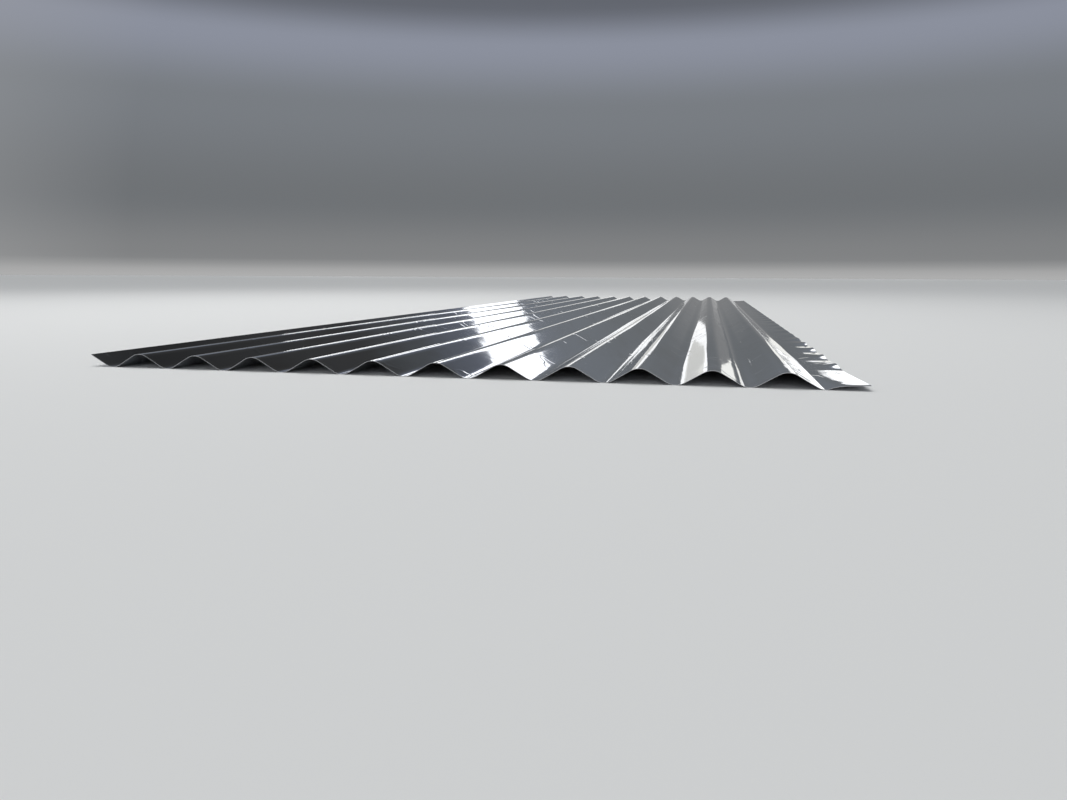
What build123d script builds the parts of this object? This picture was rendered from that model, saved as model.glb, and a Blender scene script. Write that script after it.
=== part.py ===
from build123d import *

import os
from math import atan2, cos, degrees, sin, sqrt, tan

os.makedirs("parts", exist_ok=True)

# Corrugated metal sheet: a flat strip of steel, rolled into round waves that run its whole length.
# The waves run along Y and repeat across X, and Z is up. The sheet lies with its troughs on Z = 0,
# and the origin is at the middle of its underside.

# Driving dimensions in millimetres: depth, radius and runs are taken at the middle of the thickness
sheet_length = 3000.0
thickness = 0.5
wave_count = 11
pitch = 76.0
wave_depth = 16.5
bend_radius = 18.0
raised_edge_run = 30.0
flat_lip_run = 42.0

# Each straight flank touches the crest's bend above it and the trough's bend below it. The two bends
# have one radius, so their centres' distances across and up give the flank's length and slope.
half_pitch = pitch / 2
centres_apart_in_height = 2 * bend_radius - wave_depth
flank_length = sqrt(half_pitch**2 + centres_apart_in_height**2 - (2 * bend_radius) ** 2)
flank_angle = atan2(2 * bend_radius, flank_length) - atan2(centres_apart_in_height, half_pitch)

# Flanks carried on past their bends meet at sharp corners, this far above a crest or below a trough.
# The last bend ends level, so its corner lies on the lip's own line, this far before the lip.
corner_outside_bend = bend_radius / cos(flank_angle) - bend_radius
corner_before_lip = bend_radius * tan(flank_angle / 2)

# The raised edge is cut square to its flank, so half the thickness reaches out past the middle line
overall_width = raised_edge_run + thickness / 2 * sin(flank_angle) + wave_count * pitch + flat_lip_run
last_trough_x = overall_width / 2 - flat_lip_run
first_trough_x = last_trough_x - wave_count * pitch
trough_z = thickness / 2
crest_z = trough_z + wave_depth


def section_corners():
    """The zigzag that the waves round off, from the raised edge on the left to the flat lip's edge."""
    low_corner_z = trough_z - corner_outside_bend
    high_corner_z = crest_z + corner_outside_bend
    corners = [(first_trough_x - raised_edge_run, low_corner_z + raised_edge_run * tan(flank_angle))]
    for wave in range(wave_count):
        trough_x = first_trough_x + wave * pitch
        corners.append((trough_x, low_corner_z))
        corners.append((trough_x + half_pitch, high_corner_z))
    corners.append((last_trough_x - corner_before_lip, trough_z))
    corners.append((last_trough_x + flat_lip_run, trough_z))
    return corners


# The sheet: one wall of even thickness follows the rounded zigzag, and runs the whole length
with BuildPart() as corrugated_sheet:
    with BuildSketch(Plane.XZ) as section:
        with BuildLine() as middle_line:
            FilletPolyline(*section_corners(), radius=bend_radius)
        trace(line_width=thickness)
    extrude(amount=sheet_length / 2, both=True)

corrugated_sheet.part.label = "corrugated_sheet"
export_step(corrugated_sheet.part, "parts/corrugated_sheet.step")

strip_width = sum(edge.length for edge in middle_line.edges())
print(f"flank {flank_length:.1f} mm at {degrees(flank_angle):.1f} degrees")
print(f"overall width {overall_width:.1f} mm, rolled from a strip {strip_width:.1f} mm wide")
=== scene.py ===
from math import atan2, cos, pi, radians, sin, sqrt, tan

import bpy
import numpy as np
from mathutils import Euler, Matrix, Vector


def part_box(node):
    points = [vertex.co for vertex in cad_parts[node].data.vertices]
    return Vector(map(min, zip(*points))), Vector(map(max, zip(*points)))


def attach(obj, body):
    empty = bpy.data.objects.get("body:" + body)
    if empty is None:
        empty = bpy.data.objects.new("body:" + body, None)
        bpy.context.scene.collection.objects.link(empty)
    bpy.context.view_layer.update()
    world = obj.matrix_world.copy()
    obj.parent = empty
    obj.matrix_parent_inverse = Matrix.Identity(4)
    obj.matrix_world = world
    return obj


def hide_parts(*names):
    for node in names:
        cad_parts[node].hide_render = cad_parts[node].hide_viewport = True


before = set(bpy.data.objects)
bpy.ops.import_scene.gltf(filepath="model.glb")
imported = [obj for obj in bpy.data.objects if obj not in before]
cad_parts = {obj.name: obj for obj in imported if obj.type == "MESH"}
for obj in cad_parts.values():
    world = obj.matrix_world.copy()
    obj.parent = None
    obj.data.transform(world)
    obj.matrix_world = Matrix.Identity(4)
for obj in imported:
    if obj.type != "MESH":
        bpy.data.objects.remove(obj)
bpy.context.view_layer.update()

LOW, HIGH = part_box("corrugated_sheet")

# The sheet's section, in metres: the same sizes as the solid, measured on the middle of the thickness
THICKNESS = 0.0005
WAVE_COUNT = 11
PITCH = 0.076
WAVE_DEPTH = HIGH.z - LOW.z - THICKNESS
BEND_RADIUS = 0.018
RAISED_EDGE_RUN = 0.030
FLAT_LIP_RUN = 0.042
LENGTH = HIGH.y - LOW.y

HALF_PITCH = PITCH / 2
CENTRES_APART = 2 * BEND_RADIUS - WAVE_DEPTH
FLANK_LENGTH = sqrt(HALF_PITCH**2 + CENTRES_APART**2 - (2 * BEND_RADIUS) ** 2)
FLANK_ANGLE = atan2(2 * BEND_RADIUS, FLANK_LENGTH) - atan2(CENTRES_APART, HALF_PITCH)

# How finely the visible mesh follows the section, how its rows close up towards the near end, and the angle
# beyond which an edge is sharp
BEND_STEPS = (0.2, 0.4, 0.6, 0.8, 1.0)
FLANK_STEPS = (0.08, 0.36, 0.64, 0.92, 1.0)
LIP_STEPS = tuple(np.linspace(0, 1, 13)[1:])
ROW_COUNT = 205
NEAR_ROW_SHARE = 0.40
SHARP_ANGLE = radians(50)

# Waves along the slit edge of the lip, in metres: how far they swing the edge either way, about where one
# rises, and how far apart they lie after it and before it. The last value is how much they lean, in radians.
EDGE_WAVE_SWING = 0.0015
EDGE_WAVE_RISE = 0.322
EDGE_WAVE_SPACING = 0.109
FIRST_WAVE_SPACING = 0.122
EDGE_WAVE_LEAN = 0.35

# Where these waves set in and where they die down, in metres from the near end, each over a soft stretch,
# and the share of their swing that is left beyond
WAVES_SET_IN = 0.195
WAVES_SET_IN_OVER = 0.015
WAVES_DIE_DOWN = 0.65
WAVES_DIE_DOWN_OVER = 0.06
SWING_LEFT_BEYOND = 0.25

# How far the slit edge stands off the lip's flat before its waves set in, how much is added where they have,
# and the power of the place across the lip with which it curls up to that edge
LIP_STAND = 0.0005
LIP_STAND_ADDED = 0.0016
LIP_CURL = 2.5

# The upturned near corner: its slope, how far this reaches from the near end and how softly it begins, the
# droop of its very end and how far this reaches, and the power with which both spread across the lip
CORNER_SLOPE = 0.0345
CORNER_REACH = 0.155
CORNER_SOFTNESS = 0.020
CORNER_DROOP = 0.0004
CORNER_DROOP_REACH = 0.012
CORNER_SPREAD = 4

# Random unevenness: the shortest and the longest of its waves in metres, and about how steep they are. For
# the drift in phase of the slit edge's waves, the steepness is in radians per metre.
FLANK_BULGE = (0.10, 0.9, 0.0009)
FLANK_TWIST = (0.15, 1.2, 0.0005)
LAST_FLANK_RIPPLE = (0.04, 0.08, 0.03)
LIP_RIPPLE = (0.040, 0.080, 0.018)
EDGE_WAVE_DRIFT = (0.4, 1.2, 1.5)

# How many waves are added up for each, how far their lengths stray from an even series, and the seeds
ADDED_WAVES = 7
WAVE_LENGTH_SPREAD = 0.15
FLANK_SEED = 11
LIP_SEED = 8

# How far from the near end the two ripples reach, in metres, each with the soft stretch over which it ends
LAST_FLANK_RIPPLE_REACH = 0.6
LAST_FLANK_RIPPLE_SOFTNESS = 0.06
LIP_RIPPLE_REACH = 0.7
LIP_RIPPLE_SOFTNESS = 0.08

# Patterns in the steel: how many features a metre holds along X, Y and Z, how many finer layers lie over
# them, and how strong each of these is beside the one before. Their values lie between 0 and 1.
STREAKS = ((420, 3, 420), 3.0, 0.5)
SMUDGES = ((14, 5, 14), 5.0, 0.6)
DENTS = ((40, 18, 40), 2.0, 0.5)
FINE_GRAIN = ((260, 90, 260), 3.0, 0.5)
BENDS = ((22, 16, 22), 1.0, 0.5)
KINK_PATCHES = ((17, 9, 17), 1.0, 0.5)
SHEAR_MARKS = ((900, 900, 2500), 2.0, 0.5)

# The middle of a pattern's values, along which the bends crease
MIDDLE_VALUE = 0.5

# The stretch of each pattern's values that counts, which is measured from their middle for the creases, and
# the shares that it can be spread over
STREAK_VALUES = (0.3, 0.7)
SMUDGE_VALUES = (0.50, 0.70)
CREASE_VALUES = (0.0, 0.03)
KINK_PATCH_VALUES = (0.57, 0.61)
SHEAR_MARK_VALUES = (0.3, 0.7)
RISING = (0.0, 1.0)
FALLING = (1.0, 0.0)

# The zinc's colour where it is clean, the one it turns to where it is dull and how far it turns, its
# roughness in and between the streaks, and what dullness adds to that
CLEAN_ZINC = (0.59, 0.615, 0.66, 1.0)
DULL_ZINC = (0.48, 0.485, 0.495, 1.0)
DULL_TINT_SHARE = 0.8
ZINC_ROUGHNESS = (0.025, 0.045)
DULL_ADDED_ROUGHNESS = 0.03

# The zinc's relief: the height of its dents in metres, and of its kinks and grain as shares of that
DENT_HEIGHT = 0.0001
KINK_SHARE = 0.9
GRAIN_SHARE = 0.04

# The cut edge's colours and its roughness
DARK_CUT = (0.42, 0.42, 0.43, 1.0)
BRIGHT_CUT = (0.66, 0.67, 0.69, 1.0)
CUT_ROUGHNESS = (0.25, 0.45)

# The floor: the length of its sides in metres, its colour, its roughness and how strongly it mirrors
FLOOR_SIZE = 90
FLOOR_COLOUR = (0.80, 0.80, 0.79, 1.0)
FLOOR_ROUGHNESS = 0.85
FLOOR_SPECULAR = 0.2

# A large soft box overhead, in metres and watts, turned towards the sheet
KEY_LIGHT_SIZE = (3.0, 4.0)
KEY_LIGHT_POWER = 60
KEY_LIGHT_PLACE = (-1.2, 0.0, 3.2)
KEY_LIGHT_TILT = radians(20)

# Camera, fitted to the crests and troughs of the near edge in a 1067 x 800 frame
IMAGE_WIDTH = 1067
FOCAL_PIXELS = 798.0
SENSOR_WIDTH = 36.0
CAMERA_BEFORE_NEAR_EDGE = 0.8473
CAMERA_RIGHT_OF_FIRST_CREST = 0.6758
CAMERA_HEIGHT = 0.1140
YAW_LEFT = radians(12.18)
PITCH_DOWN = radians(8.875)
ROLL = radians(0.25)
CLIP_START = 0.01
CLIP_END = 500


def new_material(name):
    """A new material with its nodes, its links and its shader."""
    material = bpy.data.materials.new(name)
    material.use_nodes = True
    nodes = material.node_tree.nodes
    return material, nodes, material.node_tree.links, nodes["Principled BSDF"]


def math_node(nodes, links, operation, first, second=None):
    """A Math node on two inputs, each a socket or a number."""
    node = nodes.new("ShaderNodeMath")
    node.operation = operation
    for socket, value in zip(node.inputs, (first, second)):
        if value is None:
            continue
        if isinstance(value, (int, float)):
            socket.default_value = value
        else:
            links.new(value, socket)
    return node.outputs["Value"]


def stretched_noise(nodes, links, grain, detail, roughness):
    """Noise in the sheet's own metres, with its own grain along X, Y and Z."""
    place = nodes.new("ShaderNodeTexCoord")
    stretch = nodes.new("ShaderNodeMapping")
    stretch.inputs["Scale"].default_value = grain
    links.new(place.outputs["Object"], stretch.inputs["Vector"])
    noise = nodes.new("ShaderNodeTexNoise")
    noise.inputs["Scale"].default_value = 1.0
    noise.inputs["Detail"].default_value = detail
    noise.inputs["Roughness"].default_value = roughness
    links.new(stretch.outputs["Vector"], noise.inputs["Vector"])
    return noise.outputs["Fac"]


def ranged(nodes, links, value, values, results):
    """The value's stretch between two values, spread over two results and held beyond them."""
    node = nodes.new("ShaderNodeMapRange")
    node.inputs["From Min"].default_value, node.inputs["From Max"].default_value = values
    node.inputs["To Min"].default_value, node.inputs["To Max"].default_value = results
    links.new(value, node.inputs["Value"])
    return node.outputs["Result"]


def blend_of_colours(nodes, links, first, second, share):
    """One colour turning into another as the share goes from 0 to 1."""
    node = nodes.new("ShaderNodeMix")
    node.data_type = "RGBA"
    node.inputs["A"].default_value = first
    node.inputs["B"].default_value = second
    links.new(share, node.inputs["Factor"])
    return node.outputs["Result"]


def kink_pattern(nodes, links):
    """Short creases: thin lines along the middle values of one noise, kept only in patches of another."""
    bends = stretched_noise(nodes, links, *BENDS)
    off_middle = math_node(nodes, links, "SUBTRACT", bends, MIDDLE_VALUE)
    off_middle = math_node(nodes, links, "ABSOLUTE", off_middle)
    crease = ranged(nodes, links, off_middle, CREASE_VALUES, FALLING)
    patches = stretched_noise(nodes, links, *KINK_PATCHES)
    sparse = ranged(nodes, links, patches, KINK_PATCH_VALUES, RISING)
    return math_node(nodes, links, "MULTIPLY", crease, sparse)


def galvanised_steel():
    """Bright zinc: near mirror, with rolling streaks along the sheet, dull smudges, dents and kinks."""
    material, nodes, links, shader = new_material("galvanised_steel")
    shader.inputs["Metallic"].default_value = 1.0

    smudges = stretched_noise(nodes, links, *SMUDGES)
    dull = ranged(nodes, links, smudges, SMUDGE_VALUES, RISING)
    tint_share = math_node(nodes, links, "MULTIPLY", dull, DULL_TINT_SHARE)
    colour = blend_of_colours(nodes, links, CLEAN_ZINC, DULL_ZINC, tint_share)
    links.new(colour, shader.inputs["Base Color"])

    streaks = stretched_noise(nodes, links, *STREAKS)
    streaked = ranged(nodes, links, streaks, STREAK_VALUES, ZINC_ROUGHNESS)
    added = math_node(nodes, links, "MULTIPLY", dull, DULL_ADDED_ROUGHNESS)
    links.new(math_node(nodes, links, "ADD", streaked, added), shader.inputs["Roughness"])

    dents = stretched_noise(nodes, links, *DENTS)
    grain = stretched_noise(nodes, links, *FINE_GRAIN)
    grain = math_node(nodes, links, "MULTIPLY", grain, GRAIN_SHARE)
    kinks = math_node(nodes, links, "MULTIPLY", kink_pattern(nodes, links), KINK_SHARE)
    relief = math_node(nodes, links, "ADD", dents, grain)
    relief = math_node(nodes, links, "ADD", relief, kinks)
    bump = nodes.new("ShaderNodeBump")
    bump.inputs["Strength"].default_value = 1.0
    bump.inputs["Distance"].default_value = DENT_HEIGHT
    links.new(relief, bump.inputs["Height"])
    links.new(bump.outputs["Normal"], shader.inputs["Normal"])
    return material


def cut_edge_steel():
    """The sheared edge: bare steel, duller than the zinc, with the shear's fine marks."""
    material, nodes, links, shader = new_material("cut_edge_steel")
    shader.inputs["Metallic"].default_value = 1.0
    marks = stretched_noise(nodes, links, *SHEAR_MARKS)
    colour = blend_of_colours(nodes, links, DARK_CUT, BRIGHT_CUT, marks)
    links.new(colour, shader.inputs["Base Color"])
    rough = ranged(nodes, links, marks, SHEAR_MARK_VALUES, CUT_ROUGHNESS)
    links.new(rough, shader.inputs["Roughness"])
    return material


def strip_stations():
    """Stations along the strip's middle line: x, z, heading, the flat each lies on and its place there.

    The flat is -1 on a bend. The place runs from 0 to 1 along the flat.
    """
    raised_flat = (RAISED_EDGE_RUN - BEND_RADIUS * sin(FLANK_ANGLE)) / cos(FLANK_ANGLE)
    runs = [(raised_flat, 0.0, FLANK_STEPS)]
    for _ in range(WAVE_COUNT):
        runs.append((0.0, 2 * FLANK_ANGLE, BEND_STEPS))
        runs.append((FLANK_LENGTH, 0.0, FLANK_STEPS))
        runs.append((0.0, -2 * FLANK_ANGLE, BEND_STEPS))
        runs.append((FLANK_LENGTH, 0.0, FLANK_STEPS))
    runs.append((0.0, FLANK_ANGLE, BEND_STEPS))
    runs.append((FLAT_LIP_RUN, 0.0, LIP_STEPS))

    x, z, heading, flat_number = 0.0, 0.0, -FLANK_ANGLE, 0
    stations = [(x, z, heading, 0, 0.0)]
    for length, turn, steps in runs:
        reached = 0.0
        for step in steps:
            part = turn * (step - reached)
            chord = length * (step - reached) + 2 * BEND_RADIUS * sin(abs(part) / 2)
            x += chord * cos(heading + part / 2)
            z += chord * sin(heading + part / 2)
            heading += part
            reached = step
            stations.append((x, z, heading, -1 if turn else flat_number, 0.0 if turn else step))
        flat_number += 1 if turn else 0
    table = np.array(stations)
    table[:, 0] += HIGH.x - table[-1, 0]
    table[:, 1] += LOW.z + THICKNESS / 2 - table[-1, 1]
    return table


def wandering(rng, y, shortest, longest, slope):
    """A smooth random line along y, whose waves lie between two lengths and have about this slope."""
    total = np.zeros_like(y)
    for length in np.geomspace(shortest, longest, ADDED_WAVES):
        length *= rng.uniform(1 - WAVE_LENGTH_SPREAD, 1 + WAVE_LENGTH_SPREAD)
        height = slope * length / (2 * pi) * sqrt(2 / ADDED_WAVES)
        total += height * np.sin(2 * pi * y / length + rng.uniform(0, 2 * pi))
    return total


def setting_in(distance, place, over):
    """A share that rises softly from 0 to 1 around a place."""
    return 1 / (1 + np.exp((place - distance) / over))


def dying_down(distance, place, over):
    """A share that falls softly from 1 to 0 around a place."""
    return 1 / (1 + np.exp((distance - place) / over))


def lip_lift(rng, from_end, place):
    """How far the lip stands off its flat: a ripple, its slit edge's waves and the upturned near corner."""
    from_end = from_end[:, None]
    ripple = wandering(rng, from_end, *LIP_RIPPLE)
    ripple *= dying_down(from_end, LIP_RIPPLE_REACH, LIP_RIPPLE_SOFTNESS)
    swell = ripple * place**2 * np.sin(pi * place)

    since_rise = from_end - EDGE_WAVE_RISE
    spacing = np.where(since_rise > 0, EDGE_WAVE_SPACING, FIRST_WAVE_SPACING)
    phase = 2 * pi * since_rise / spacing + wandering(rng, from_end, *EDGE_WAVE_DRIFT)
    set_in = setting_in(from_end, WAVES_SET_IN, WAVES_SET_IN_OVER)
    dies_down = dying_down(from_end, WAVES_DIE_DOWN, WAVES_DIE_DOWN_OVER)
    swing_left = SWING_LEFT_BEYOND + (1 - SWING_LEFT_BEYOND) * dies_down
    wave = EDGE_WAVE_SWING * set_in * swing_left * np.sin(phase + EDGE_WAVE_LEAN * np.sin(phase))
    stand = LIP_STAND + LIP_STAND_ADDED * set_in + wave

    slope_run = CORNER_SOFTNESS * np.log1p(np.exp((CORNER_REACH - from_end) / CORNER_SOFTNESS))
    droop = CORNER_DROOP * np.exp(-from_end / CORNER_DROOP_REACH)
    flare = CORNER_SLOPE * slope_run - droop
    return stand * place**LIP_CURL + swell + flare * (1 - (1 - place) ** CORNER_SPREAD)


def lift_off_section(y, flat, place):
    """How far the sheet stands off its straight section, for each row along y and each station."""
    rng = np.random.default_rng(FLANK_SEED)
    lift = np.zeros((len(y), len(flat)))
    lip = int(flat.max())
    for number in range(lip):
        on = flat == number
        bulge = wandering(rng, y, *FLANK_BULGE)[:, None]
        twist = wandering(rng, y, *FLANK_TWIST)[:, None]
        lift[:, on] = bulge * np.sin(pi * place[on]) + twist * np.sin(2 * pi * place[on])

    from_end = y - LOW.y
    beside_lip = flat == lip - 1
    ripple = wandering(rng, y, *LAST_FLANK_RIPPLE)
    ripple *= dying_down(from_end, LAST_FLANK_RIPPLE_REACH, LAST_FLANK_RIPPLE_SOFTNESS)
    lift[:, beside_lip] += ripple[:, None] * np.sin(pi * place[beside_lip])

    on_lip = flat == lip
    lift[:, on_lip] = lip_lift(np.random.default_rng(LIP_SEED), from_end, place[on_lip])
    return lift


def sheet_surfaces():
    """Points of the sheet's upper and lower face, in rows along Y and stations across the strip."""
    stations = strip_stations()
    x0, z0, heading, flat, place = stations.T
    share = np.linspace(0, 1, ROW_COUNT)
    y = LOW.y + LENGTH * (NEAR_ROW_SHARE * share + (1 - NEAR_ROW_SHARE) * share**2)
    lift = lift_off_section(y, flat, place)

    middle = np.zeros((ROW_COUNT, len(stations), 3))
    middle[:, :, 0] = x0 - lift * np.sin(heading)
    middle[:, :, 1] = y[:, None]
    middle[:, :, 2] = z0 + lift * np.cos(heading)
    normal = np.zeros_like(middle)
    normal[:, :, 0] = -np.sin(heading)
    normal[:, :, 2] = np.cos(heading)
    upper = middle + normal * THICKNESS / 2
    lower = middle - normal * THICKNESS / 2
    return upper, lower


def grid_faces(first, rows, columns, flip):
    """Quads over a grid of vertices that are numbered row by row from first."""
    faces = []
    for row in range(rows - 1):
        for column in range(columns - 1):
            a = first + row * columns + column
            quad = (a, a + 1, a + columns + 1, a + columns)
            faces.append(quad[::-1] if flip else quad)
    return faces


def build_sheet():
    """The sheet as one closed mesh: upper and lower faces, two sheared ends and two slit sides."""
    upper, lower = sheet_surfaces()
    rows, columns = upper.shape[:2]
    vertices = np.concatenate([upper.reshape(-1, 3), lower.reshape(-1, 3)])
    below = rows * columns
    faces = grid_faces(0, rows, columns, False) + grid_faces(below, rows, columns, True)
    face_count = len(faces)
    for column in range(columns - 1):
        near, far = column, (rows - 1) * columns + column
        faces.append((near + 1, near, below + near, below + near + 1))
        faces.append((far, far + 1, below + far + 1, below + far))
    for row in range(rows - 1):
        left, right = row * columns, row * columns + columns - 1
        faces.append((left, left + columns, below + left + columns, below + left))
        faces.append((right + columns, right, below + right, below + right + columns))
    mesh = bpy.data.meshes.new("galvanised_sheet")
    mesh.from_pydata(vertices.tolist(), [], faces)
    mesh.materials.append(galvanised_steel())
    mesh.materials.append(cut_edge_steel())
    for polygon in mesh.polygons:
        rolled = polygon.index < face_count
        polygon.use_smooth = rolled
        polygon.material_index = 0 if rolled else 1
    mesh.set_sharp_from_angle(angle=SHARP_ANGLE)
    sheet = bpy.data.objects.new("galvanised_sheet", mesh)
    bpy.context.collection.objects.link(sheet)
    return sheet


def build_floor():
    """A pale matt floor, level with the bottom of the sheet."""
    material, _, _, shader = new_material("pale_floor")
    shader.inputs["Base Color"].default_value = FLOOR_COLOUR
    shader.inputs["Roughness"].default_value = FLOOR_ROUGHNESS
    shader.inputs["Specular IOR Level"].default_value = FLOOR_SPECULAR
    bpy.ops.mesh.primitive_plane_add(size=FLOOR_SIZE, location=(0, 0, LOW.z))
    floor = bpy.context.object
    floor.name = "floor"
    floor.data.materials.append(material)


# Backdrop colours by height above the horizon in degrees. Ahead of the camera a dark band hangs over the
# floor's pale edge, and all round it the backdrop is lighter. Overhead both are bright.
BACKDROP_AHEAD = {
    0.0: (0.42, 0.42, 0.42),
    1.2: (0.22, 0.225, 0.23),
    5.0: (0.16, 0.17, 0.18),
    11.0: (0.19, 0.205, 0.225),
    15.0: (0.26, 0.28, 0.34),
    17.5: (0.125, 0.135, 0.16),
    20.5: (0.085, 0.09, 0.095),
    24.0: (0.05, 0.05, 0.05),
    38.0: (0.03, 0.03, 0.03),
    54.0: (0.72, 0.75, 0.78),
    90.0: (1.20, 1.25, 1.30),
}
BACKDROP_AROUND = {
    0.0: (0.42, 0.42, 0.42),
    3.0: (0.36, 0.365, 0.375),
    14.0: (0.34, 0.35, 0.37),
    22.0: (0.50, 0.52, 0.55),
    30.0: (0.18, 0.185, 0.19),
    44.0: (0.16, 0.165, 0.17),
    60.0: (0.90, 0.92, 0.94),
    90.0: (1.30, 1.35, 1.40),
}

# How far along the waves a direction points, from 0 to 1, where the backdrop ahead begins and is complete
AHEAD_VALUES = (0.50, 0.78)


def sky_ramp(nodes, links, height, colours):
    """The backdrop's colour at a height that goes from 0 at the horizon to 1 overhead."""
    ramp = nodes.new("ShaderNodeValToRGB")
    ramp.color_ramp.interpolation = "EASE"
    elements = ramp.color_ramp.elements
    while len(elements) < len(colours):
        elements.new(0.5)
    for element, (degrees_up, colour) in zip(elements, colours.items()):
        element.position = degrees_up / 90
        element.color = (*colour, 1.0)
    links.new(height, ramp.inputs["Fac"])
    return ramp.outputs["Color"]


def build_world():
    """The backdrop, with one set of colours ahead and another all round."""
    world = bpy.data.worlds.new("studio")
    bpy.context.scene.world = world
    world.use_nodes = True
    nodes, links = world.node_tree.nodes, world.node_tree.links
    place = nodes.new("ShaderNodeTexCoord")
    split = nodes.new("ShaderNodeSeparateXYZ")
    links.new(place.outputs["Generated"], split.inputs["Vector"])
    angle_up = math_node(nodes, links, "ARCSINE", split.outputs["Z"])
    height = math_node(nodes, links, "DIVIDE", angle_up, pi / 2)
    mix = nodes.new("ShaderNodeMix")
    mix.data_type = "RGBA"
    links.new(ranged(nodes, links, split.outputs["Y"], AHEAD_VALUES, RISING), mix.inputs["Factor"])
    links.new(sky_ramp(nodes, links, height, BACKDROP_AROUND), mix.inputs["A"])
    links.new(sky_ramp(nodes, links, height, BACKDROP_AHEAD), mix.inputs["B"])
    links.new(mix.outputs["Result"], nodes["Background"].inputs["Color"])


# Soft boxes far from the sheet, ahead of the camera or behind it. Each has its left, right, bottom and top
# edge in degrees from the camera, turned right of the waves' direction and up from the horizon as seen along
# the waves, how many degrees its right end is tilted up about its middle, its brightness and its colour
SOFT_BOX_DISTANCE = 60.0
WHITE = (1.0, 1.0, 1.0)
CREAM = (1.0, 0.99, 0.93)
SOFT_BOXES = {
    "high_soft_box": (-15.0, 21.0, 12.81, 16.33, 6.0, 1.7, WHITE),
    "high_soft_box_end": (-28.0, -15.0, 9.94, 13.5, 6.0, 1.5, WHITE),
    "left_soft_box": (-29.8, -19.4, 0.3, 4.8, 0.0, 2.0, WHITE),
    "middle_soft_box": (-12.0, -4.2, 0.3, 2.7, 0.0, 0.46, CREAM),
    "middle_soft_box_upper": (-12.0, -4.2, 2.7, 3.4, 0.0, 0.68, CREAM),
    "middle_soft_box_top": (-12.0, -3.4, 3.4, 5.2, 0.0, 1.05, WHITE),
    "middle_soft_box_side": (-4.2, -2.9, 0.3, 3.4, 0.0, 0.9, WHITE),
    "right_soft_box": (5.8, 7.8, 0.3, 3.6, 0.0, 0.8, CREAM),
    "right_soft_box_top": (6.4, 7.8, 3.6, 5.0, 0.0, 0.9, WHITE),
    "right_soft_box_end": (7.8, 14.0, 0.3, 5.2, 0.0, 1.4, WHITE),
}
BACK_SOFT_BOXES = {
    "back_soft_box_low": (-30.0, 30.0, 6.0, 10.0, 0.0, 1.0, WHITE),
    "back_soft_box_high": (-20.0, 20.0, 20.0, 30.0, 0.0, 1.2, WHITE),
}


def build_soft_box(name, eye, ahead, left, right, bottom, top, tilt, brightness, colour):
    """One soft box, ahead of the camera for 1 and behind it for -1. At a brightness of 1 it is white."""
    x0, x1 = (SOFT_BOX_DISTANCE * tan(radians(edge)) for edge in (left, right))
    z0, z1 = (SOFT_BOX_DISTANCE * tan(radians(edge)) for edge in (bottom, top))
    lamp = bpy.data.lights.new(name, "AREA")
    lamp.shape = "RECTANGLE"
    lamp.size = x1 - x0
    lamp.size_y = z1 - z0
    lamp.color = colour
    lamp.energy = brightness * pi * lamp.size * lamp.size_y
    box = bpy.data.objects.new(name, lamp)
    box.location = eye + Vector(((x0 + x1) / 2, ahead * SOFT_BOX_DISTANCE, (z0 + z1) / 2))
    box.rotation_euler = (radians(-90 * ahead), radians(-tilt), 0)
    box.visible_camera = False
    bpy.context.collection.objects.link(box)


def build_soft_boxes(eye):
    """All the soft boxes, ahead of the camera and behind it."""
    for name, box in SOFT_BOXES.items():
        build_soft_box(name, eye, 1, *box)
    for name, box in BACK_SOFT_BOXES.items():
        build_soft_box(name, eye, -1, *box)


def build_key_light():
    """The soft box overhead, which lights the scene but isn't mirrored in the sheet."""
    lamp = bpy.data.lights.new("overhead_soft_box", "AREA")
    lamp.shape = "RECTANGLE"
    lamp.size, lamp.size_y = KEY_LIGHT_SIZE
    lamp.energy = KEY_LIGHT_POWER
    box = bpy.data.objects.new("overhead_soft_box", lamp)
    box.location = KEY_LIGHT_PLACE
    box.rotation_euler = (0, -KEY_LIGHT_TILT, 0)
    box.visible_camera = False
    box.visible_glossy = False
    bpy.context.collection.objects.link(box)


def build_camera():
    """The camera, and the place of its eye, which it hands back."""
    first_trough_x = HIGH.x - FLAT_LIP_RUN - WAVE_COUNT * PITCH
    eye = Vector((first_trough_x + HALF_PITCH + CAMERA_RIGHT_OF_FIRST_CREST,
                  LOW.y - CAMERA_BEFORE_NEAR_EDGE, LOW.z + CAMERA_HEIGHT))
    data = bpy.data.cameras.new("camera")
    data.sensor_width = SENSOR_WIDTH
    data.lens = FOCAL_PIXELS / IMAGE_WIDTH * SENSOR_WIDTH
    data.clip_start = CLIP_START
    data.clip_end = CLIP_END
    camera = bpy.data.objects.new("camera", data)
    turn = Euler((radians(90) - PITCH_DOWN, 0, YAW_LEFT)).to_matrix() @ Matrix.Rotation(ROLL, 3, "Z")
    camera.matrix_world = Matrix.Translation(eye) @ turn.to_4x4()
    bpy.context.collection.objects.link(camera)
    bpy.context.scene.camera = camera
    return eye


sheet = build_sheet()
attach(sheet, "root")
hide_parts("corrugated_sheet")

build_floor()
build_world()
build_key_light()
eye = build_camera()
build_soft_boxes(eye)
bpy.context.scene.view_settings.view_transform = "Standard"
